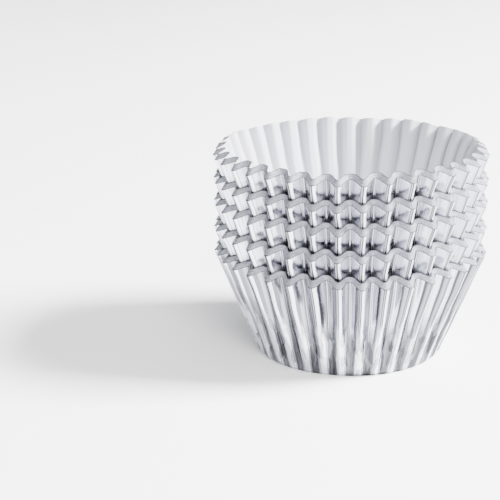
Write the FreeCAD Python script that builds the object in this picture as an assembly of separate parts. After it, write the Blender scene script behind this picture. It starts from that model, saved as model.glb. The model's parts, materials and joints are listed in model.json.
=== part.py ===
import FreeCAD, Part
import math
import os

# Stack of fluted foil cupcake liners: tight bundles of liners, nested one in the other.
# Millimetres, +Z up, origin at the middle of the lowest bundle's underside.
# A crest is where a flute stands furthest out, a valley where it is folded furthest in.

# Stack
LIFTS = [6.8, 6.85, 6.0, 6.4]  # rise of each bundle above the one below, from the bottom up
SEAT_CLEARANCE = 0.2  # between a bundle's outside and the wall that it sits in

# Flutes
FLUTES = 36
FLANK_SHARE = 0.572  # part of half a flute's width at the rim that its sloping side takes
VALLEY_EASE_SLOPE = 0.5  # slope of the facet that rounds a valley's corner, as a part of the side's
LEAST_VALLEY_FLAT = 0.04  # what a valley's rounding leaves of its flat at least

# Foot of the wall
BASE_RADIUS = 25.0
FOOT_HEIGHT = 0.7  # the rounded crease between floor and wall
FOOT_SETBACK = 0.7  # how far the underside stays back from the foot
FOOT_FLUTE_DEPTH = 0.3
FOOT_CREST_FLAT = 1.8
FOOT_VALLEY_EASE = 0.1
FLOOR_THICKNESS = 1.4

# Rim of the wall: its inner edge is the highest line, its outer edge lies lower
RIM_HEIGHT = 29.4
RIM_CREST_RADIUS = 35.8
RIM_VALLEY_RADIUS = 33.05
RIM_CREST_FLAT = 1.3
RIM_VALLEY_EASE = 0.35
RIM_BEVEL_DROP = 1.4  # from the inner edge down to the outer one
RIM_DIP = 0.44  # how far the rim falls for each millimetre that it stands outside a valley

# Inner edge of the rim, drawn in from the outer one
RIM_CREST_WALL = 0.95
RIM_VALLEY_WALL = 0.45
INNER_VALLEY_EASE = 0.7


class Contour:
    """One closed fluted line round the wall, at the height that its valleys have."""

    def __init__(self, crest_radius, valley_radius, crest_flat, valley_ease, height, dip=0.0):
        self.crest_radius = crest_radius
        self.valley_radius = valley_radius
        self.crest_flat = crest_flat
        self.valley_ease = valley_ease
        self.height = height
        self.dip = dip

    def half_flute(self):
        """Crest corner, ease corner and valley corner of the half flute beside the +X axis."""
        half_pitch = math.pi / FLUTES
        valley_out = FreeCAD.Vector(math.cos(half_pitch), math.sin(half_pitch), 0)
        valley_across = FreeCAD.Vector(math.sin(half_pitch), -math.cos(half_pitch), 0)
        crest_corner = FreeCAD.Vector(self.crest_radius, self.crest_flat / 2, 0)
        depth = crest_corner.dot(valley_out) - self.valley_radius
        slope = math.copysign(flank_angle(), depth)
        flank = direction(slope)
        ease = direction(slope * VALLEY_EASE_SLOPE)
        steepness = flank.dot(valley_across) / -flank.dot(valley_out)
        spare = crest_corner.dot(valley_across) + steepness * depth - LEAST_VALLEY_FLAT / 2
        ease_room = spare / -(ease.dot(valley_across) + steepness * ease.dot(valley_out))
        ease *= min(self.valley_ease, ease_room)
        flank *= (depth + ease.dot(valley_out)) / -flank.dot(valley_out)
        ease_corner = crest_corner + flank
        valley_corner = ease_corner + ease
        corners = [crest_corner, ease_corner, valley_corner]
        for corner in corners:
            corner.z = self.height - self.dip * (corner.dot(valley_out) - self.valley_radius)
        return corners

    def corners(self):
        """Corners of the whole contour, flute by flute."""
        upper = self.half_flute()
        lower = [FreeCAD.Vector(c.x, -c.y, c.z) for c in reversed(upper)]
        flute = lower + upper
        turns = [FreeCAD.Rotation(FreeCAD.Vector(0, 0, 1), 360.0 / FLUTES * n) for n in range(FLUTES)]
        return [turn.multVec(corner) for turn in turns for corner in flute]


def flank_angle():
    """Angle of a flute's sloping sides against the wall's round, in degrees."""
    depth = abs(RIM_CREST_RADIUS - RIM_VALLEY_RADIUS)
    half_width = (RIM_CREST_RADIUS + RIM_VALLEY_RADIUS) / 2 * math.pi / FLUTES
    return math.degrees(math.atan2(depth, half_width * FLANK_SHARE))


def direction(angle):
    """Unit vector that runs from a crest towards its valley, at an angle to the wall's round."""
    return FreeCAD.Vector(-math.sin(math.radians(angle)), math.cos(math.radians(angle)), 0)


def round_ring(corners, radius, height):
    """Corners of one radius and height, at the bearings of the given ones."""
    flat = [FreeCAD.Vector(c.x, c.y, 0).normalize() * radius for c in corners]
    return [FreeCAD.Vector(c.x, c.y, height) for c in flat]


def panel(*corners):
    """Flat face through the corners."""
    return Part.Face(Part.makePolygon([*corners, corners[0]]))


def folded_wall(lower, upper):
    """Flat panels that join two rings with as many corners."""
    panels = []
    for n in range(len(lower)):
        panels.append(panel(lower[n - 1], lower[n], upper[n]))
        panels.append(panel(lower[n - 1], upper[n], upper[n - 1]))
    return panels


def seated_crest(height):
    """Radius and flat of the crests of the lowest-seated next bundle, at a height in this one."""
    rise = height - min(LIFTS) - FOOT_HEIGHT
    crest_height = RIM_HEIGHT - RIM_BEVEL_DROP - RIM_DIP * (RIM_CREST_RADIUS - RIM_VALLEY_RADIUS)
    share = rise / (crest_height - FOOT_HEIGHT)
    radius = BASE_RADIUS + (RIM_CREST_RADIUS - BASE_RADIUS) * share
    flat = FOOT_CREST_FLAT + (RIM_CREST_FLAT - FOOT_CREST_FLAT) * share
    return radius, flat


def inner_crest_flat(crest_radius, valley_radius):
    """Flat of the inner rim's crests that keeps their flanks clear of the next bundle's."""
    height = RIM_HEIGHT - RIM_DIP * (crest_radius - valley_radius)
    next_radius, next_flat = seated_crest(height)
    tilt = math.radians(math.copysign(flank_angle(), crest_radius - valley_radius))
    spare = SEAT_CLEARANCE - (crest_radius - next_radius) * math.cos(tilt)
    flat = next_flat + 2 * spare / math.sin(tilt)
    return flat if tilt > 0 else min(flat, next_flat)


def inner_foot_radius(rim_radius):
    """Radius where the inside of the wall, straight up to the rim, meets the floor."""
    seat_radius = BASE_RADIUS + SEAT_CLEARANCE
    seat_height = min(LIFTS) + FOOT_HEIGHT
    slope = (rim_radius - seat_radius) / (RIM_HEIGHT - seat_height)
    return rim_radius - slope * (RIM_HEIGHT - FLOOR_THICKNESS)


def make_bundle():
    """One bundle: outside of the wall, cut rim and inside of the wall, between two round floors."""
    outer_foot = Contour(
        BASE_RADIUS,
        BASE_RADIUS - FOOT_FLUTE_DEPTH,
        FOOT_CREST_FLAT,
        FOOT_VALLEY_EASE,
        FOOT_HEIGHT,
    ).corners()
    outer_rim = Contour(
        RIM_CREST_RADIUS,
        RIM_VALLEY_RADIUS,
        RIM_CREST_FLAT,
        RIM_VALLEY_EASE,
        RIM_HEIGHT - RIM_BEVEL_DROP,
        RIM_DIP,
    ).corners()
    crest_radius = RIM_CREST_RADIUS - RIM_CREST_WALL
    valley_radius = RIM_VALLEY_RADIUS - RIM_VALLEY_WALL
    inner_rim = Contour(
        crest_radius,
        valley_radius,
        inner_crest_flat(crest_radius, valley_radius),
        INNER_VALLEY_EASE,
        RIM_HEIGHT,
        RIM_DIP,
    ).corners()
    foot_radius = inner_foot_radius(valley_radius)
    inner_foot = Contour(
        foot_radius + FOOT_FLUTE_DEPTH,
        foot_radius,
        FOOT_CREST_FLAT,
        FOOT_VALLEY_EASE,
        FLOOR_THICKNESS,
    ).corners()
    sections = [
        round_ring(outer_foot, BASE_RADIUS - FOOT_SETBACK, 0),
        outer_foot,
        outer_rim,
        inner_rim,
        inner_foot,
    ]
    faces = [panel(*sections[0]), panel(*sections[-1])]
    for lower, upper in zip(sections, sections[1:]):
        faces += folded_wall(lower, upper)
    return Part.Solid(Part.Shell(faces)).removeSplitter()


def main():
    os.makedirs("parts", exist_ok=True)
    bundle = make_bundle()
    height = 0
    for number, lift in enumerate([0] + LIFTS, start=1):
        height += lift
        nested = bundle.translated(FreeCAD.Vector(0, 0, height))
        nested.exportStep(f"parts/liner_bundle_{number}.step")
        box = nested.BoundBox
        print(f"liner_bundle_{number}: valid {nested.isValid()}, solids {len(nested.Solids)}, "
              f"volume {nested.Volume:.0f}, z {box.ZMin:.2f} to {box.ZMax:.2f}")


main()
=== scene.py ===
"""Looks of a nested stack of fluted foil cupcake liners.

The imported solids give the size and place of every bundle. Each bundle is modelled here once more
as one closed skin: foil outside, a rim of many cut sheet edges, and white paper inside.
"""

from __future__ import annotations

import json
import logging
import math
import random
from dataclasses import dataclass, replace
from enum import Enum
from typing import Any, Union

import bmesh
import bpy
from mathutils import Matrix, Vector

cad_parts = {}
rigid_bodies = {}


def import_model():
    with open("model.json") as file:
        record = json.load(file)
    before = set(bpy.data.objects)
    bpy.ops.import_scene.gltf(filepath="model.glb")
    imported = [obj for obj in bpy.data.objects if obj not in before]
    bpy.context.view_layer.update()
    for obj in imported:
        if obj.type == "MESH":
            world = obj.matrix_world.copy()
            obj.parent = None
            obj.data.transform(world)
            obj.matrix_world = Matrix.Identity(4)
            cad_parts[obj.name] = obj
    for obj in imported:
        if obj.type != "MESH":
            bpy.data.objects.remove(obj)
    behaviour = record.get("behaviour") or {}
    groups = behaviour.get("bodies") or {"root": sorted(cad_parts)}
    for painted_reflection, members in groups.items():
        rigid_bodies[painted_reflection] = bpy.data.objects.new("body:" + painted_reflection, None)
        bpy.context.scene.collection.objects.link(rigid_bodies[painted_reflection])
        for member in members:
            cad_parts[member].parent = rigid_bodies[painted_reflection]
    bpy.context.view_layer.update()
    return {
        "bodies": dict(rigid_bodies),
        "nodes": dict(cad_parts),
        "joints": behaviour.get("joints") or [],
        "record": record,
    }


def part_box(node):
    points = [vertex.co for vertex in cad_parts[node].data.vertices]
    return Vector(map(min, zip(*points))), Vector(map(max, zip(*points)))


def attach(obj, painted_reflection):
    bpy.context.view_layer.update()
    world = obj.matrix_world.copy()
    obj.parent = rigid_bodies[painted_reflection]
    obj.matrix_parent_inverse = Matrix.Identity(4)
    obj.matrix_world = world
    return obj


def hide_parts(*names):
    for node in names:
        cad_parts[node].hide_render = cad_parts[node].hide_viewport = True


LOG = logging.getLogger("cupcake_liners")
MM = 0.001
SEED = 7
FLUTES = 36
RIM_SHARE = "rim_share"  # from 0 at the rim's inner edge to 1 at its outer one
FOLD_PLACE = "fold_place"  # place in the evenly folded stack, before the hand-made unevenness
NOISE_REACH = (0.3, 0.7)  # values between which nearly all of a noise texture lies


class Region(Enum):
    """Parts of a bundle's skin, numbered as its material slots are."""

    FOIL = 0
    CUT_EDGES = 1
    LINING = 2


# Shape of a bundle


@dataclass(frozen=True)
class FluteLine:
    """One closed fluted line round a bundle's wall, in metres.

    A crest is where a flute stands furthest out, a valley where it is folded furthest in.
    """

    crest_radius: float
    valley_radius: float
    crest_flat: float
    valley_ease: float
    height: float
    dip: float = 0.0
    flutes: int = FLUTES
    flank_angle: float = math.radians(58)
    ease_angle: float = math.radians(29)
    rounding: float = 0.16 * MM
    averaged: tuple[float, ...] = (-1, -0.5, 0, 0.5, 1)

    def valley_out(self) -> Vector:
        """Unit vector from the axis to a valley's middle."""
        half_pitch = math.pi / self.flutes
        return Vector((math.cos(half_pitch), math.sin(half_pitch)))

    def corners(self) -> list[Vector]:
        """Finds the corners of half a flute.

        Returns:
            The corners, from the crest's middle on +X to the valley's middle.
        """
        valley_out = self.valley_out()
        flank = Vector((-math.sin(self.flank_angle), math.cos(self.flank_angle)))
        ease = Vector((-math.sin(self.ease_angle), math.cos(self.ease_angle))) * self.valley_ease
        crest_corner = Vector((self.crest_radius, self.crest_flat / 2))
        depth = (crest_corner + ease).dot(valley_out) - self.valley_radius
        ease_corner = crest_corner + flank * (depth / -flank.dot(valley_out))
        crest_middle = Vector((self.crest_radius, 0))
        valley_middle = valley_out * self.valley_radius
        return [crest_middle, crest_corner, ease_corner, ease_corner + ease, valley_middle]

    def sharp_radius(self, bearing: float) -> float:
        """Radius of the unrounded line.

        Args:
            bearing: Angle from a crest's middle.

        Returns:
            The radius there.
        """
        half_pitch = math.pi / self.flutes
        folded = half_pitch - abs(abs(bearing) % (2 * half_pitch) - half_pitch)
        ray = Vector((math.cos(folded), math.sin(folded)))
        corners = self.corners()
        for start, end in zip(corners, corners[1:]):
            if math.atan2(start.y, start.x) <= folded <= math.atan2(end.y, end.x):
                across = Vector((end.y - start.y, start.x - end.x))
                return start.dot(across) / ray.dot(across)
        return self.valley_radius

    def point(self, bearing: float) -> tuple[float, float]:
        """Radius and height of the line at a bearing, with its corners rounded.

        Args:
            bearing: Angle from a crest's middle, up to half a pitch.

        Returns:
            The radius and the height there.
        """
        reach = self.rounding / self.crest_radius
        near = [self.sharp_radius(bearing + reach * share) for share in self.averaged]
        radius = sum(near) / len(near)
        ray = Vector((math.cos(bearing), math.sin(bearing)))
        proud = (ray * radius).dot(self.valley_out()) - self.valley_radius
        return radius, self.height - self.dip * proud


class EditMesh:
    """An object's mesh in edit mode, with selection by test."""

    def __init__(self, name: str) -> None:
        """Starts an empty mesh object and enters edit mode.

        Args:
            name: Name of the object and its mesh.
        """
        bpy.ops.object.select_all(action="DESELECT")
        mesh = bpy.data.meshes.new(name)
        self.object = bpy.data.objects.new(name, mesh)
        bpy.context.scene.collection.objects.link(self.object)
        bpy.context.view_layer.objects.active = self.object
        self.object.select_set(True)
        bpy.ops.object.mode_set(mode="EDIT")
        bpy.ops.mesh.select_mode(type="VERT")

    def points(self) -> list[Vector]:
        """Places of all vertices, by index."""
        return [vertex.co.copy() for vertex in bmesh.from_edit_mesh(self.object.data).verts]

    def select(self, indices: set[int]) -> None:
        """Selects these vertices and nothing else.

        Args:
            indices: Indices of the vertices.
        """
        bpy.ops.mesh.select_all(action="DESELECT")
        shape = bmesh.from_edit_mesh(self.object.data)
        shape.verts.index_update()
        shape.verts.ensure_lookup_table()
        for index in indices:
            shape.verts[index].select = True
        shape.select_flush(True)
        bmesh.update_edit_mesh(self.object.data)

    def mark(self, name: str, values: dict[int, float]) -> None:
        """Writes a number on vertices, for a material to read.

        Args:
            name: Name of the attribute.
            values: Number by vertex index.
        """
        shape = bmesh.from_edit_mesh(self.object.data)
        layer = shape.verts.layers.float.new(name)
        shape.verts.ensure_lookup_table()
        for index, value in values.items():
            shape.verts[index][layer] = value
        bmesh.update_edit_mesh(self.object.data)

    def count(self) -> int:
        """Number of vertices."""
        return len(bmesh.from_edit_mesh(self.object.data).verts)

    def paint(self, region: Region) -> None:
        """Gives the selected faces a region's material.

        Args:
            region: Part of the skin that the faces belong to.
        """
        self.object.active_material_index = region.value
        bpy.ops.object.material_slot_assign()

    def close(self) -> bpy.types.Object:
        """Turns all faces outwards and leaves edit mode.

        Returns:
            The object.
        """
        bpy.ops.mesh.select_all(action="SELECT")
        bpy.ops.mesh.normals_make_consistent(inside=False)
        bpy.ops.object.mode_set(mode="OBJECT")
        return self.object


@dataclass(frozen=True)
class BundleSkin:
    """A tight bundle of liners as one closed skin, in metres, standing on z = 0.

    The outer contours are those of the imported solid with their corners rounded, and the inner ones
    come near to its own. The rim is a stair of cut sheet edges.
    """

    crest_radius: float
    rim_height: float
    valley_radius: float = 33.05 * MM
    crest_flat: float = 1.3 * MM
    valley_ease: float = 0.35 * MM
    bevel_drop: float = 1.4 * MM
    dip: float = 0.44
    inner_crest_radius: float = 34.85 * MM
    inner_valley_radius: float = 32.6 * MM
    inner_crest_flat: float = 0.6 * MM
    inner_valley_ease: float = 0.7 * MM
    base_radius: float = 25 * MM
    foot_height: float = 0.7 * MM
    foot_setback: float = 0.7 * MM
    foot_depth: float = 0.3 * MM
    foot_flat: float = 1.8 * MM
    foot_ease: float = 0.1 * MM
    inner_foot_radius: float = 23.6 * MM
    floor: float = 1.4 * MM
    flutes: int = FLUTES
    steps: int = 28
    sheets: int = 10
    wall_rows: int = 38
    lining_rows: int = 14
    lining_rounding: float = 0.6 * MM
    nested: bool = False
    seat_crest_radius: float = 33.88 * MM
    seat_valley_radius: float = 31.59 * MM
    seat_flat: float = 1.5 * MM
    seat_drop: float = 0.5 * MM
    foot_rows: int = 3
    seat_rows: int = 2
    sheet_scatter: float = 0.3
    smooth_angle: float = math.radians(34)

    def contours(self) -> dict[str, FluteLine]:
        """Lists the skin's driving contours.

        The seat is where a nested bundle's wall closes up to the bundle that stands in it.

        Returns:
            The contours by name, from the outer foot over the rim to the floor.
        """
        outer_foot = FluteLine(
            self.base_radius,
            self.base_radius - self.foot_depth,
            self.foot_flat,
            self.foot_ease,
            self.foot_height,
        )
        outer_rim = FluteLine(
            self.crest_radius,
            self.valley_radius,
            self.crest_flat,
            self.valley_ease,
            self.rim_height - self.bevel_drop,
            self.dip,
        )
        inner_rim = FluteLine(
            self.inner_crest_radius,
            self.inner_valley_radius,
            self.inner_crest_flat,
            self.inner_valley_ease,
            self.rim_height,
            self.dip,
            rounding=self.lining_rounding,
        )
        inner_foot = FluteLine(
            self.inner_foot_radius + self.foot_depth,
            self.inner_foot_radius,
            self.foot_flat,
            self.foot_ease,
            self.floor,
        )
        seat = FluteLine(
            self.seat_crest_radius,
            self.seat_valley_radius,
            self.seat_flat,
            self.valley_ease,
            self.rim_height - self.seat_drop,
            self.dip,
        )
        return {
            "outer_foot": outer_foot,
            "outer_rim": outer_rim,
            "inner_rim": inner_rim,
            "seat": seat,
            "inner_foot": inner_foot,
        }

    def phase(self, point: Vector) -> int:
        """Places a point within its flute.

        Args:
            point: Place of a vertex.

        Returns:
            Steps between its bearing and the nearest crest's middle.
        """
        step = 2 * math.pi / (self.flutes * self.steps)
        turned = round(math.atan2(point.y, point.x) / step) % self.steps
        return min(turned, self.steps - turned)

    def add_ring(self, shape: EditMesh, radius: float, height: float) -> set[int]:
        """Adds a round ring of loose edges.

        Args:
            shape: Mesh to add to.
            radius: Radius of the ring.
            height: Height of the ring.

        Returns:
            Indices of its vertices.
        """
        before = shape.count()
        bpy.ops.mesh.primitive_circle_add(
            vertices=self.flutes * self.steps, radius=radius, location=(0, 0, height), fill_type="NOTHING"
        )
        return set(range(before, shape.count()))

    def add_line(self, shape: EditMesh, line: FluteLine) -> set[int]:
        """Adds a ring and draws its vertices out to a fluted line.

        Args:
            shape: Mesh to add to.
            line: The line to follow.

        Returns:
            Indices of its vertices.
        """
        ring = self.add_ring(shape, line.valley_radius, line.height)
        points = shape.points()
        step = 2 * math.pi / (self.flutes * self.steps)
        for phase in range(self.steps // 2 + 1):
            radius, height = line.point(phase * step)
            shape.select({index for index in ring if self.phase(points[index]) == phase})
            scale = radius / line.valley_radius
            bpy.ops.transform.resize(value=(scale, scale, 1), center_override=(0, 0, 0))
            bpy.ops.transform.translate(value=(0, 0, height - line.height))
        return ring

    def bridge(
        self, shape: EditMesh, lower: set[int], upper: set[int], rows: int, region: Region
    ) -> set[int]:
        """Joins two rings by rows of faces.

        Args:
            shape: Mesh that holds both rings.
            lower: Vertices of one ring.
            upper: Vertices of the other.
            rows: Number of rows of faces.
            region: Part of the skin that the faces belong to.

        Returns:
            Indices of the new vertices between the rings.
        """
        before = shape.count()
        shape.select(lower | upper)
        bpy.ops.mesh.bridge_edge_loops(number_cuts=rows - 1, interpolation="LINEAR")
        shape.paint(region)
        return set(range(before, shape.count()))

    def cap(self, shape: EditMesh, ring: set[int], region: Region) -> None:
        """Closes a flat ring with a face.

        Args:
            shape: Mesh that holds the ring.
            ring: Vertices of the ring.
            region: Part of the skin that the face belongs to.
        """
        shape.select(ring)
        bpy.ops.mesh.edge_face_add()
        shape.paint(region)

    def cut_sheets(self, shape: EditMesh, band: set[int], draw: random.Random) -> None:
        """Turns the rim's slanted band into a stair, one tread for each sheet's cut edge.

        Args:
            shape: Mesh with the band.
            band: Vertices of the outer and inner rim line and between them.
            draw: Source of the sheets' small offsets.
        """
        lines = self.contours()
        step = 2 * math.pi / (self.flutes * self.steps)
        rows: dict[int, set[int]] = {}
        points = shape.points()
        for index in band:
            bearing = self.phase(points[index]) * step
            inner = lines["inner_rim"].point(bearing)[0]
            outer = lines["outer_rim"].point(bearing)[0]
            share = (math.hypot(points[index].x, points[index].y) - inner) / (outer - inner)
            rows.setdefault(round(share * 2 * self.sheets), set()).add(index)
        last_row = 2 * self.sheets
        shape.mark(RIM_SHARE, {index: row / last_row for row, found in rows.items() for index in found})
        rise = self.bevel_drop / last_row
        for sheet in range(self.sheets):
            offset = draw.uniform(-self.sheet_scatter, self.sheet_scatter) * rise
            for row, lift in ((2 * sheet, offset), (2 * sheet + 1, offset + rise)):
                if 0 < row:
                    shape.select(rows[row])
                    bpy.ops.transform.translate(value=(0, 0, lift))

    def build(self, name: str) -> bpy.types.Object:
        """Models the skin.

        Args:
            name: Name of the object.

        Returns:
            The object, standing on z = 0.
        """
        draw = random.Random(SEED)
        lines = self.contours()
        shape = EditMesh(name)
        for region in Region:
            shape.object.data.materials.append(None)
        underside = self.add_ring(shape, self.base_radius - self.foot_setback, 0)
        outer_foot = self.add_line(shape, lines["outer_foot"])
        outer_rim = self.add_line(shape, lines["outer_rim"])
        inner_rim = self.add_line(shape, lines["inner_rim"])
        inner_foot = self.add_line(shape, lines["inner_foot"])
        self.bridge(shape, underside, outer_foot, self.foot_rows, Region.FOIL)
        self.bridge(shape, outer_foot, outer_rim, self.wall_rows, Region.FOIL)
        band = self.bridge(shape, outer_rim, inner_rim, 2 * self.sheets, Region.CUT_EDGES)
        upper_lining = inner_rim
        if self.nested:
            upper_lining = self.add_line(shape, lines["seat"])
            self.bridge(shape, inner_rim, upper_lining, self.seat_rows, Region.LINING)
        self.bridge(shape, upper_lining, inner_foot, self.lining_rows, Region.LINING)
        self.cap(shape, underside, Region.FOIL)
        self.cap(shape, inner_foot, Region.LINING)
        self.cut_sheets(shape, outer_rim | band | inner_rim, draw)
        skin = shape.close()
        bpy.ops.object.shade_smooth_by_angle(angle=self.smooth_angle)
        return skin


@dataclass(frozen=True)
class Unevenness:
    """Small waves that bend the evenly folded stack, the same for bundles that lie in each other."""

    depth: float = 0.9 * MM
    wave: float = 13 * MM
    still_below: float = 3 * MM
    full_above: float = 14 * MM
    levels: int = 12

    def loosen(self, piece: bpy.types.Object) -> str:
        """Gives a piece's vertices a weight by height, so that the stack's foot stays where it is.

        Args:
            piece: Skin in its place in the stack.

        Returns:
            Name of the vertex group.
        """
        group = piece.vertex_groups.new(name="loose_wall")
        found: dict[int, list[int]] = {}
        for vertex in piece.data.vertices:
            share = (vertex.co.z - self.still_below) / (self.full_above - self.still_below)
            found.setdefault(round(min(max(share, 0), 1) * self.levels), []).append(vertex.index)
        for level, indices in found.items():
            group.add(indices, level / self.levels, "REPLACE")
        return group.name

    def bend(self, piece: bpy.types.Object) -> None:
        """Keeps the even places as an attribute and bends the piece.

        Args:
            piece: Skin in its place in the stack.
        """
        places = piece.data.attributes.new(FOLD_PLACE, "FLOAT_VECTOR", "POINT")
        for vertex, place in zip(piece.data.vertices, places.data):
            place.vector = vertex.co
        group = self.loosen(piece)
        texture = bpy.data.textures.new("uneven_folds", "CLOUDS")
        texture.noise_scale = self.wave
        texture.noise_depth = 1
        texture.cloud_type = "COLOR"
        bpy.ops.object.select_all(action="DESELECT")
        bpy.context.view_layer.objects.active = piece
        piece.select_set(True)
        bpy.ops.object.modifier_add(type="DISPLACE")
        waves = piece.modifiers[-1]
        waves.texture = texture
        waves.texture_coords = "LOCAL"
        waves.direction = "RGB_TO_XYZ"
        waves.mid_level = 0.5
        waves.strength = self.depth
        waves.vertex_group = group
        bpy.ops.object.modifier_apply(modifier=waves.name)
        piece.vertex_groups.clear()


# Finishes


Number = Union[int, float]
Source = Union["Value", Number]
Tones = tuple[tuple[float, float], ...]
Range = tuple[float, float]
Colour = tuple[float, float, float]


@dataclass(frozen=True)
class Grain:
    """Scale of a pattern that runs along the wall: round it, and up it for each metre."""

    turns: float
    rise: float


class Value:
    """A number that varies over a surface, with arithmetic that adds Math nodes."""

    def __init__(self, nodes: "NodeBench", socket: bpy.types.NodeSocket) -> None:
        """Wraps an output socket.

        Args:
            nodes: Bench that adds further nodes.
            socket: Output socket that gives the number.
        """
        self.nodes = nodes
        self.socket = socket

    def _maths(self, operation: str, *values: Source) -> "Value":
        """Adds a Math node over these values."""
        return self.nodes.value("ShaderNodeMath", {"operation": operation}, dict(enumerate(values)))

    def __add__(self, other: Source) -> "Value":
        """Sum."""
        return self._maths("ADD", self, other)

    def __sub__(self, other: Source) -> "Value":
        """Difference."""
        return self._maths("SUBTRACT", self, other)

    def __rsub__(self, other: Source) -> "Value":
        """Difference, reflected."""
        return self._maths("SUBTRACT", other, self)

    def __mul__(self, other: Source) -> "Value":
        """Product."""
        return self._maths("MULTIPLY", self, other)

    def arctan2(self, other: Source) -> "Value":
        """Bearing of the point (other, self)."""
        return self._maths("ARCTAN2", self, other)

    def wrap(self, low: float, high: float) -> "Value":
        """The value wrapped into a range."""
        return self._maths("WRAP", self, high, low)

    def size(self) -> "Value":
        """The value without its sign."""
        return self._maths("ABSOLUTE", self)

    def cap(self, most: Source) -> "Value":
        """The lesser of this and another value."""
        return self._maths("MINIMUM", self, most)

    def remap(self, low: float, high: float, to_low: float, to_high: float) -> "Value":
        """The value carried evenly from one range to another, held inside it."""
        sockets = {"Value": self, "From Min": low, "From Max": high, "To Min": to_low, "To Max": to_high}
        return self.nodes.value("ShaderNodeMapRange", {"clamp": True}, sockets)

    def fade(self, low: float, high: float) -> "Value":
        """Share from 0 at one value to 1 at another, with soft ends."""
        sockets = {"Value": self, "From Min": low, "From Max": high}
        return self.nodes.value("ShaderNodeMapRange", {"interpolation_type": "SMOOTHSTEP"}, sockets)


class NodeBench:
    """Adds the nodes of one material."""

    def __init__(self, name: str) -> None:
        """Starts a material with only a shader and its output.

        Args:
            name: Name of the material.
        """
        self.material = bpy.data.materials.new(name)
        self.material.use_nodes = True
        self.tree = self.material.node_tree
        self.tree.nodes.clear()
        self.shader = self.tree.nodes.new("ShaderNodeBsdfPrincipled")
        output = self.tree.nodes.new("ShaderNodeOutputMaterial")
        self.tree.links.new(self.shader.outputs["BSDF"], output.inputs["Surface"])

    def node(self, kind: str, settings: dict[str, Any], sockets: dict[Any, Any]) -> bpy.types.Node:
        """Adds a node.

        Args:
            kind: Type of the node.
            settings: Properties of the node, set first.
            sockets: Values, sockets or Value objects by input name or index.

        Returns:
            The node.
        """
        made = self.tree.nodes.new(kind)
        for name, setting in settings.items():
            setattr(made, name, setting)
        for key, source in sockets.items():
            self.feed(made.inputs[key], source)
        return made

    def feed(self, socket: bpy.types.NodeSocket, source: Any) -> None:
        """Links or sets an input socket.

        Args:
            socket: Input socket.
            source: A Value, an output socket, or a plain value.
        """
        if isinstance(source, Value):
            self.tree.links.new(source.socket, socket)
        elif isinstance(source, bpy.types.NodeSocket):
            self.tree.links.new(source, socket)
        else:
            socket.default_value = source

    def value(self, kind: str, settings: dict[str, Any], sockets: dict[Any, Any], output: Any = 0) -> Value:
        """Adds a node and wraps one output."""
        return Value(self, self.node(kind, settings, sockets).outputs[output])

    def fold_axes(self) -> tuple[Value, Value, Value]:
        """Reads the place in the evenly folded stack.

        Returns:
            X, Y and Z in metres.
        """
        place = self.node("ShaderNodeAttribute", {"attribute_name": FOLD_PLACE}, {}).outputs["Vector"]
        apart = self.node("ShaderNodeSeparateXYZ", {}, {"Vector": place}).outputs
        return Value(self, apart["X"]), Value(self, apart["Y"]), Value(self, apart["Z"])

    def flute_turn(self, x: Value, y: Value) -> Value:
        """Bearing of a place, counted in flutes from the crest on +X."""
        return y.arctan2(x) * (FLUTES / (2 * math.pi))

    def from_crest(self, x: Value, y: Value) -> Value:
        """Share of a flute between a place and the nearest crest, up to 0.5 in a valley."""
        return self.flute_turn(x, y).wrap(-0.5, 0.5).size()

    def millimetres(self, x: Value, y: Value, z: Value) -> bpy.types.NodeSocket:
        """Place as a vector in millimetres, for a fine pattern."""
        return self.vector(x * (1 / MM), y * (1 / MM), z * (1 / MM))

    def vector(self, x: Source, y: Source, z: Source) -> bpy.types.NodeSocket:
        """Joins three values to a vector."""
        return self.node("ShaderNodeCombineXYZ", {}, {"X": x, "Y": y, "Z": z}).outputs[0]

    def around(self, x: Value, y: Value) -> bpy.types.NodeSocket:
        """Unit vector from the axis towards the point, level."""
        level = self.vector(x, y, 0)
        return self.node("ShaderNodeVectorMath", {"operation": "NORMALIZE"}, {0: level}).outputs[0]

    def along(self, around: bpy.types.NodeSocket, z: Value, grain: Grain) -> bpy.types.NodeSocket:
        """Place for a pattern that runs along the wall.

        Args:
            around: Unit vector from the axis.
            z: Height in metres.
            grain: Scale of the pattern.

        Returns:
            The place as a vector.
        """
        level = self.node("ShaderNodeVectorMath", {"operation": "SCALE"}, {0: around, "Scale": grain.turns})
        sockets = {0: level.outputs[0], 1: self.vector(0, 0, z * grain.rise)}
        return self.node("ShaderNodeVectorMath", {"operation": "ADD"}, sockets).outputs[0]

    def noise(
        self, where: bpy.types.NodeSocket, scale: float = 1, detail: float = 2, rough: float = 0.5
    ) -> Value:
        """Noise of a scale at a place."""
        sockets = {"Vector": where, "Scale": scale, "Detail": detail, "Roughness": rough}
        return self.value("ShaderNodeTexNoise", {}, sockets, "Fac")

    def cells(self, where: bpy.types.NodeSocket) -> Value:
        """Splits the surface into cells.

        Args:
            where: Place for the pattern, already at its scale.

        Returns:
            A number between 0 and 1 for each cell.
        """
        made = self.node("ShaderNodeTexVoronoi", {}, {"Vector": where, "Scale": 1})
        apart = self.node("ShaderNodeSeparateColor", {}, {"Color": made.outputs["Color"]})
        return Value(self, apart.outputs["Red"])

    def mark(self, name: str) -> Value:
        """Number that the mesh carries under a name."""
        return self.value("ShaderNodeAttribute", {"attribute_name": name}, {}, "Fac")

    def blend(self, share: Source, first: Colour, second: Colour) -> bpy.types.NodeSocket:
        """Mixes two colours.

        Args:
            share: Share of the second colour.
            first: Colour at 0.
            second: Colour at 1.

        Returns:
            The mixed colour.
        """
        made = self.node("ShaderNodeMix", {"data_type": "RGBA"}, {"Factor": share})
        made.inputs[6].default_value = (*first, 1)
        made.inputs[7].default_value = (*second, 1)
        return made.outputs[2]

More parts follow.
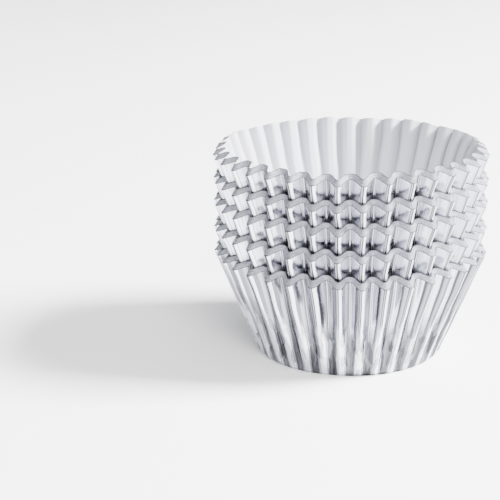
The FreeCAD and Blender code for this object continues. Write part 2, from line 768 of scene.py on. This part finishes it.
    def tint_at_tone(self, tone: Value, tint: Colour) -> bpy.types.NodeSocket:
        """A tint, darkened to a tone."""
        made = self.node("ShaderNodeVectorMath", {"operation": "SCALE"}, {0: tint, "Scale": tone})
        return made.outputs[0]

    def tones(self, place: Value, stops: Tones) -> Value:
        """Reads a tone from a list.

        Args:
            place: Place between 0 and 1.
            stops: Places and tones in order, 32 at most.

        Returns:
            The tone there.
        """
        made = self.node("ShaderNodeValToRGB", {}, {"Fac": place})
        row = made.color_ramp.elements
        while len(row) < len(stops):
            row.new(1)
        for element, (position, tone) in zip(row, stops):
            element.position = position
            element.color = (tone, tone, tone, 1)
        return Value(self, made.outputs["Color"])

    def bump(self, height: Source, distance: float) -> bpy.types.NodeSocket:
        """Normal of a relief.

        Args:
            height: Height of the relief, as a share of the distance.
            distance: Depth of the relief in metres.

        Returns:
            The normal socket.
        """
        sockets = {"Height": height, "Distance": distance, "Strength": 1}
        return self.node("ShaderNodeBump", {}, sockets).outputs["Normal"]

    def dress(self, **sockets: Any) -> bpy.types.Material:
        """Feeds the shader and returns the material.

        Args:
            **sockets: Values by shader input, with an underscore for a space.

        Returns:
            The finished material.
        """
        for name, source in sockets.items():
            self.feed(self.shader.inputs[name.replace("_", " ")], source)
        return self.material


@dataclass(frozen=True)
class FoilFinish:
    """Silver foil, with its reflections and shade painted into the base colour from valley to valley.

    Each list of tones runs across a flute, from 0 in one valley over the crest at 0.5 to the next
    valley at 1, as painted reflection: a painted highlight on one side of the crest and painted shade
    in the valleys. Near the foot the folds are crushed into small facets, each with a painted
    brightness of its own, and the painted highlights on their shoulders spread in points. Painted
    shade darkens the valleys just above each seat, and a painted contact shadow runs along the foot.
    """

    seats: tuple[float, ...]
    tint: Colour = (0.885, 0.895, 1.0)
    # Painted reflection across a flute of the strips between nested rims: painted highlights and painted
    # shade in the base colour.
    rim_painted_reflection: Tones = (
        (0.0, 0.5), (0.012, 0.45), (0.025, 0.1), (0.05, 0.17), (0.1, 0.42), (0.2, 0.56), (0.3, 0.6),
        (0.375, 0.5), (0.39, 0.1), (0.42, 0.12), (0.435, 0.3), (0.47, 0.2), (0.485, 0.04), (0.52, 0.05),
        (0.535, 0.97), (0.655, 0.97), (0.665, 0.3), (0.7, 0.75), (0.8, 0.62), (0.9, 0.43), (0.94, 0.18),
        (0.975, 0.1), (0.988, 0.45), (1.0, 0.5),
    )
    # Painted reflection across a flute of the lowest bundle's open wall: painted highlights and painted
    # shade.
    wall_painted_reflection: Tones = (
        (0.0, 0.6), (0.012, 0.5), (0.025, 0.1), (0.05, 0.12), (0.06, 0.6), (0.18, 0.78), (0.235, 0.7),
        (0.245, 0.1), (0.29, 0.06), (0.31, 0.24), (0.39, 0.3), (0.4, 0.08), (0.43, 0.07), (0.445, 0.3),
        (0.48, 0.24), (0.49, 0.05), (0.52, 0.05), (0.535, 0.97), (0.665, 0.97), (0.675, 0.2), (0.76, 0.18),
        (0.82, 0.42), (0.9, 0.26), (0.94, 0.1), (0.975, 0.1), (0.988, 0.5), (1.0, 0.6),
    )
    # Painted reflection across a crushed flute near the foot, with a broad painted highlight on the crest's
    # shoulders.
    foot_painted_reflection: Tones = (
        (0.0, 0.16), (0.1, 0.12), (0.22, 0.1), (0.34, 0.16), (0.37, 0.6), (0.45, 0.4), (0.5, 0.96),
        (0.74, 0.97), (0.78, 0.22), (0.82, 0.45), (0.86, 0.1), (1.0, 0.16),
    )
    open_top: float = 28.6 * MM
    crush_top: float = 17 * MM
    crush_foot: float = 9 * MM
    # Painted contact shadow: the foil darkens from this height down to the floor.
    contact_shadow_height: float = 1.0 * MM
    # Painted shade of the dark gap where a wall goes down into the bundle below it, by height from that
    # bundle's rim.
    seat_shade_steps: Tones = ((-1.2 * MM, 1.0), (-0.8 * MM, 0.42), (0.3 * MM, 0.55), (1.5 * MM, 1.0))
    seat_blunting: float = 0.6
    stack_top: float = 60 * MM
    roughness: Range = (0.1, 0.2)
    streak_grain: Grain = Grain(26, 40)
    streak_tones: Range = (0.78, 1.16)
    pleat_grain: Grain = Grain(34, 24)
    pleat_width: float = 0.03
    pleat_tone: float = 0.7
    # Noise that rags the upper edge of the painted seat shade.
    shade_edge_grain: Grain = Grain(70, 500)
    shade_edge_height: float = 1.6 * MM
    jag_grain: Grain = Grain(16, 230)
    jag_height: float = 9 * MM
    jag_share: float = 0.02
    crush_share: float = 0.1
    facet_grain: Grain = Grain(34, 300)
    # Each crushed facet near the foot gets a random painted brightness, standing in for its own reflection.
    facet_reflection_tones: Range = (0.4, 1.5)
    open_fade: float = 0.4 * MM
    # Part of a flute, counted from the crest, that takes the painted seat shade: the valleys.
    valley_edge: Range = (0.24, 0.4)
    # Tone of the painted contact shadow at the floor.
    contact_shadow_tone: float = 0.3
    brightest: float = 0.97
    relief_grain: Grain = Grain(20, 110)
    relief_depth: float = 0.12 * MM
    relief_shares: tuple[float, float, float] = (0.6, 0.4, 0.5)

    def seat_shade_tones(self) -> Tones:
        """Lists the painted shade up the stack, dark where a wall goes down into the bundle below it.

        Returns:
            Stops by height, as a share of the stack's top.
        """
        stops = [(0.0, 1.0)]
        for seat in self.seats:
            stops += [((seat + rise) / self.stack_top, tone) for rise, tone in self.seat_shade_steps]
        return tuple(stops)

    def make(self) -> bpy.types.Material:
        """Builds the material.

        Returns:
            The finished foil.
        """
        bench = NodeBench("silver_foil")
        x, y, z = bench.fold_axes()
        around = bench.around(x, y)
        streaks = bench.noise(bench.along(around, z, self.streak_grain))
        lines = bench.noise(bench.along(around, z, self.pleat_grain), detail=1)
        shade_edge = bench.noise(bench.along(around, z, self.shade_edge_grain)) - 0.5
        jags = bench.noise(bench.along(around, z, self.jag_grain), detail=3, rough=0.6) - 0.5
        relief = bench.noise(bench.along(around, z, self.relief_grain))
        facets = bench.cells(bench.along(around, z, self.facet_grain))
        crush = (z + jags * self.jag_height).fade(self.crush_top, self.crush_foot)
        turn = bench.flute_turn(x, y) + 0.5
        flute = (turn + jags * (crush * self.crush_share + self.jag_share)).wrap(0, 1)
        # Painted reflections: each list of tones paints highlights and shade across the flute.
        rim = bench.tones(flute, self.rim_painted_reflection)
        wall = bench.tones(flute, self.wall_painted_reflection)
        foot = bench.tones(flute, self.foot_painted_reflection) * facets.remap(0, 1, *self.facet_reflection_tones)
        open_wall = z.fade(self.open_top, self.open_top - self.open_fade)
        painted_reflection = rim + (wall - rim) * open_wall
        painted_reflection = painted_reflection + (foot - painted_reflection) * crush
        pleat = (lines - 0.5).size().fade(0, self.pleat_width) * (1 - self.pleat_tone) + self.pleat_tone
        # Painted shade just above each seat, in the valleys, with a ragged upper edge; the foil is made
        # rougher there too.
        seat = bench.tones((z + shade_edge * self.shade_edge_height) * (1 / self.stack_top), self.seat_shade_tones())
        gap_shade = 1 - seat
        valley = (flute - 0.5).size().fade(*self.valley_edge)
        seat = 1 - gap_shade * valley
        # The painted reflection takes the random streaks and pleat lines and the painted seat shade.
        painted_reflection = painted_reflection * streaks.remap(*NOISE_REACH, *self.streak_tones) * pleat * seat
        # Painted contact shadow along the foot.
        tone = painted_reflection * z.remap(0, self.contact_shadow_height, self.contact_shadow_tone, 1)
        relief_share, streak_share, facet_share = self.relief_shares
        height = relief * relief_share + streaks * streak_share + facets * crush * facet_share
        return bench.dress(
            Base_Color=bench.tint_at_tone(tone.cap(self.brightest), self.tint),
            Metallic=1.0,
            Roughness=streaks.remap(*NOISE_REACH, *self.roughness) + gap_shade * self.seat_blunting,
            Normal=bench.bump(height, self.relief_depth),
        )


@dataclass(frozen=True)
class PaperFinish:
    """White greaseproof paper with a faint fibre, with painted shade in the grooves where the folds close.
    """

    name: str = "white_paper"
    tint: Colour = (0.54, 0.543, 0.585)
    # Colour of the paper in the painted groove shade.
    shade: Colour = (0.37, 0.375, 0.41)
    groove_shade_edge: Range = (0.04, 0.22)
    plain_floor: float = 15 * MM
    creased_floor: float = 23 * MM
    cloud_scale: float = 0.18
    cloud_tones: Range = (0.9, 1.05)
    fibre_scale: float = 2.6
    fibre_depth: float = 0.02 * MM
    roughness: Range = (0.65, 0.85)

    def make(self) -> bpy.types.Material:
        """Builds the material.

        Returns:
            The finished paper.
        """
        bench = NodeBench(self.name)
        x, y, z = bench.fold_axes()
        place = bench.millimetres(x, y, z)
        fibre = bench.noise(place, self.fibre_scale, 4, 0.6)
        cloud = bench.noise(place, self.cloud_scale)
        creased = (x * x + y * y).fade(self.plain_floor**2, self.creased_floor**2)
        # Painted shade in the grooves, only out where the floor is creased.
        groove_shade = (1 - bench.from_crest(x, y).fade(*self.groove_shade_edge)) * creased
        open_paper = (1 - groove_shade) * cloud.remap(*NOISE_REACH, *self.cloud_tones)
        return bench.dress(
            Base_Color=bench.blend(open_paper.cap(1), self.shade, self.tint),
            Roughness=fibre.remap(*NOISE_REACH, *self.roughness),
            Normal=bench.bump(fibre, self.fibre_depth),
        )


@dataclass(frozen=True)
class CutEdgeFinish:
    """Trimmed edges of many foil and paper sheets: matte, light grey, speckled, with dark borders."""

    tint: Colour = (0.34, 0.342, 0.395)
    border_tones: Tones = ((0.0, 0.16), (0.08, 0.25), (0.14, 1.0), (0.86, 1.0), (0.93, 0.25), (1.0, 0.16))
    speckle_scale: float = 3.0
    speckle_depth: float = 0.03 * MM
    line_grain: Grain = Grain(30, 9000)
    line_scale: float = 0.9
    line_share: float = 0.4
    dirt_reach: Range = (0.4, 0.58)
    dirt_tone: float = 0.5
    crest_edge: Range = (0.05, 0.18)
    crest_tone: float = 0.76
    metallic: float = 0.25
    roughness: Range = (0.45, 0.75)

    def make(self) -> bpy.types.Material:
        """Builds the material.

        Returns:
            The finished edges.
        """
        bench = NodeBench("cut_sheet_edges")
        x, y, z = bench.fold_axes()
        speckle = bench.noise(bench.millimetres(x, y, z), self.speckle_scale, 3, 0.6)
        level = bench.vector(y.arctan2(x) * self.line_grain.turns, z * self.line_grain.rise, 0)
        lines = bench.noise(level, self.line_scale)
        dirt = speckle * (1 - self.line_share) + lines * self.line_share
        shade = dirt.remap(*self.dirt_reach, self.dirt_tone, 1)
        crest = bench.from_crest(x, y).fade(*self.crest_edge) * (1 - self.crest_tone) + self.crest_tone
        border = bench.tones(bench.mark(RIM_SHARE), self.border_tones)
        return bench.dress(
            Base_Color=bench.tint_at_tone(shade * border * crest, self.tint),
            Metallic=self.metallic,
            Roughness=speckle.remap(*NOISE_REACH, *self.roughness),
            Normal=bench.bump(speckle, self.speckle_depth),
        )


# The stack in its studio


@dataclass
class LinerStack:
    """All bundles of the stack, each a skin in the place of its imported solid.

    Each bundle is turned by some whole flutes from the one below it.
    """

    frame: dict[str, Any]
    turn_step: int = 7
    open_rounding: float = 0.2 * MM
    # The nested bundles' lining is painted grey: painted shade of the tight gaps it hides in, not the
    # paper's own colour.
    gap_lining_tint: Colour = (0.5, 0.5, 0.52)
    gap_lining_shade: Colour = (0.3, 0.3, 0.32)

    def __post_init__(self) -> None:
        """Reads the places of the bundles from the frame and makes their skins and finishes."""
        self.nodes = sorted(self.frame["nodes"])
        self.boxes = [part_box(node) for node in self.nodes]
        low, high = self.boxes[0]
        self.skin = BundleSkin(crest_radius=high.x, rim_height=high.z - low.z, nested=True)
        self.open_skin = replace(self.skin, nested=False, lining_rounding=self.open_rounding)
        seats = tuple(high.z for low, high in self.boxes[:-1])
        foil, edges = FoilFinish(seats).make(), CutEdgeFinish().make()
        # Grey lining of the nested bundles: painted shade for the hidden gaps.
        gap_shade = PaperFinish("gap_shaded_paper", self.gap_lining_tint, self.gap_lining_shade).make()
        self.nested_finish = [foil, edges, gap_shade]
        self.open_finish = [foil, edges, PaperFinish().make()]

    def dress(self, piece: bpy.types.Object, materials: list[bpy.types.Material]) -> None:
        """Puts the finishes of the three regions on a skin."""
        for region, material in zip(Region, materials):
            piece.data.materials[region.value] = material

    def place(self, piece: bpy.types.Object, node: str, low: Vector, turn: float) -> None:
        """Stands a skin in its solid's place, with its own turn about the axis.

        Args:
            piece: The skin, standing on z = 0.
            node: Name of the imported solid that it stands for.
            low: Lowest corner of that solid.
            turn: Whole flutes that it is turned by.
        """
        angle = 2 * math.pi * turn / self.skin.flutes
        piece.data.transform(Matrix.Translation((0, 0, low.z)) @ Matrix.Rotation(angle, 4, "Z"))
        Unevenness().bend(piece)
        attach(piece, "root")
        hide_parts(node)

    def build(self) -> None:
        """Models a nested skin, its copies and the open one on top, and puts each in its place."""
        first = self.skin.build("folded_bundle_1")
        self.dress(first, self.nested_finish)
        pieces = [first]
        for number in range(2, len(self.nodes)):
            copy = first.copy()
            copy.data = first.data.copy()
            copy.name = copy.data.name = f"folded_bundle_{number}"
            bpy.context.scene.collection.objects.link(copy)
            pieces.append(copy)
        top = self.open_skin.build(f"folded_bundle_{len(self.nodes)}")
        self.dress(top, self.open_finish)
        pieces.append(top)
        for number, (piece, node, box) in enumerate(zip(pieces, self.nodes, self.boxes)):
            self.place(piece, node, box[0], self.turn_step * number)
            LOG.info("%s: %d faces, stands at %.2f mm", piece.name, len(piece.data.polygons), box[0].z / MM)


@dataclass(frozen=True)
class PhotoCamera:
    """Camera at the photograph's angle. Lengths are in metres, from the stack's axis and foot."""

    focal_pixels: float = 1414.7
    frame_pixels: float = 500
    sensor_mm: float = 36
    tilt: float = math.radians(17.34)
    bearing: float = math.radians(-1.13)
    roll: float = math.radians(-0.63)
    distance: float = 384.6 * MM
    left: float = 26.38 * MM
    rise: float = 25.24 * MM
    nearest: float = 10 * MM
    farthest: float = 10

    def build(self) -> None:
        """Adds the camera and makes it the scene's own."""
        data = bpy.data.cameras.new("photo_camera")
        data.sensor_width = self.sensor_mm
        data.lens = self.sensor_mm * self.focal_pixels / self.frame_pixels
        data.clip_start = self.nearest
        data.clip_end = self.farthest
        camera = bpy.data.objects.new("photo_camera", data)
        bpy.context.scene.collection.objects.link(camera)
        forward = Vector((0, math.cos(self.tilt), -math.sin(self.tilt)))
        upward = Vector((0, math.sin(self.tilt), math.cos(self.tilt)))
        place = Vector((-self.left, 0, 0)) - forward * self.distance + upward * self.rise
        aim = Matrix((Vector((1, 0, 0)), upward, -forward)).transposed().to_4x4()
        turn = Matrix.Rotation(self.bearing, 4, "Z")
        camera.matrix_world = turn @ Matrix.Translation(place) @ aim @ Matrix.Rotation(self.roll, 4, "Z")
        bpy.context.scene.camera = camera


@dataclass(frozen=True)
class SoftBox:
    """A square soft light that faces a point near the stack."""

    name: str
    place: tuple[float, float, float]
    side: float
    power: float
    aim: tuple[float, float, float] = (0, 0, 0.025)

    def build(self) -> None:
        """Adds the light."""
        data = bpy.data.lights.new(self.name, "AREA")
        data.shape = "SQUARE"
        data.size = self.side
        data.energy = self.power
        light = bpy.data.objects.new(self.name, data)
        bpy.context.scene.collection.objects.link(light)
        light.location = self.place
        towards = Vector(self.aim) - Vector(self.place)
        light.rotation_euler = towards.to_track_quat("-Z", "Y").to_euler()


@dataclass(frozen=True)
class Studio:
    """Pale floor, soft lights and a pale surround."""

    lights: tuple[SoftBox, ...] = (
        SoftBox("key_light", (1.13, -0.12, 0.92), 0.45, 190.0),
        SoftBox("fill_light", (0.25, -1.2, 0.8), 0.6, 32.0),
        SoftBox("top_light", (0.2, -0.2, 1.2), 0.8, 9.0),
    )
    surround: Colour = (0.9, 0.93, 1.0)
    surround_power: float = 0.22
    floor_side: float = 6
    floor_tint: Colour = (0.93, 0.93, 0.935)
    floor_roughness: float = 0.9
    glow_tint: Colour = (0.97, 0.97, 1.0)
    floor_glow: float = 0.45

    def add_floor(self) -> None:
        """Adds the wide plain floor that the stack stands on."""
        bpy.ops.object.select_all(action="DESELECT")
        bpy.ops.mesh.primitive_plane_add(size=self.floor_side, location=(0, 0, 0))
        floor = bpy.context.object
        floor.name = "studio_floor"
        bench = NodeBench("pale_floor")
        finish = bench.dress(
            Base_Color=(*self.floor_tint, 1),
            Roughness=self.floor_roughness,
            Emission_Color=(*self.glow_tint, 1),
            Emission_Strength=self.floor_glow,
        )
        floor.data.materials.append(finish)

    def add_surround(self) -> None:
        """Lights the scene evenly from all round."""
        world = bpy.data.worlds.new("studio")
        world.use_nodes = True
        background = world.node_tree.nodes["Background"]
        background.inputs["Color"].default_value = (*self.surround, 1)
        background.inputs["Strength"].default_value = self.surround_power
        bpy.context.scene.world = world

    def build(self) -> None:
        """Adds floor, surround and lights."""
        self.add_floor()
        self.add_surround()
        for light in self.lights:
            light.build()


def main() -> None:
    """Loads the frame, dresses the stack and sets up the studio."""
    logging.basicConfig(level=logging.INFO, format="%(message)s")
    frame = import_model()
    PhotoCamera().build()
    LinerStack(frame).build()
    Studio().build()


if __name__ == "__main__":
    main()
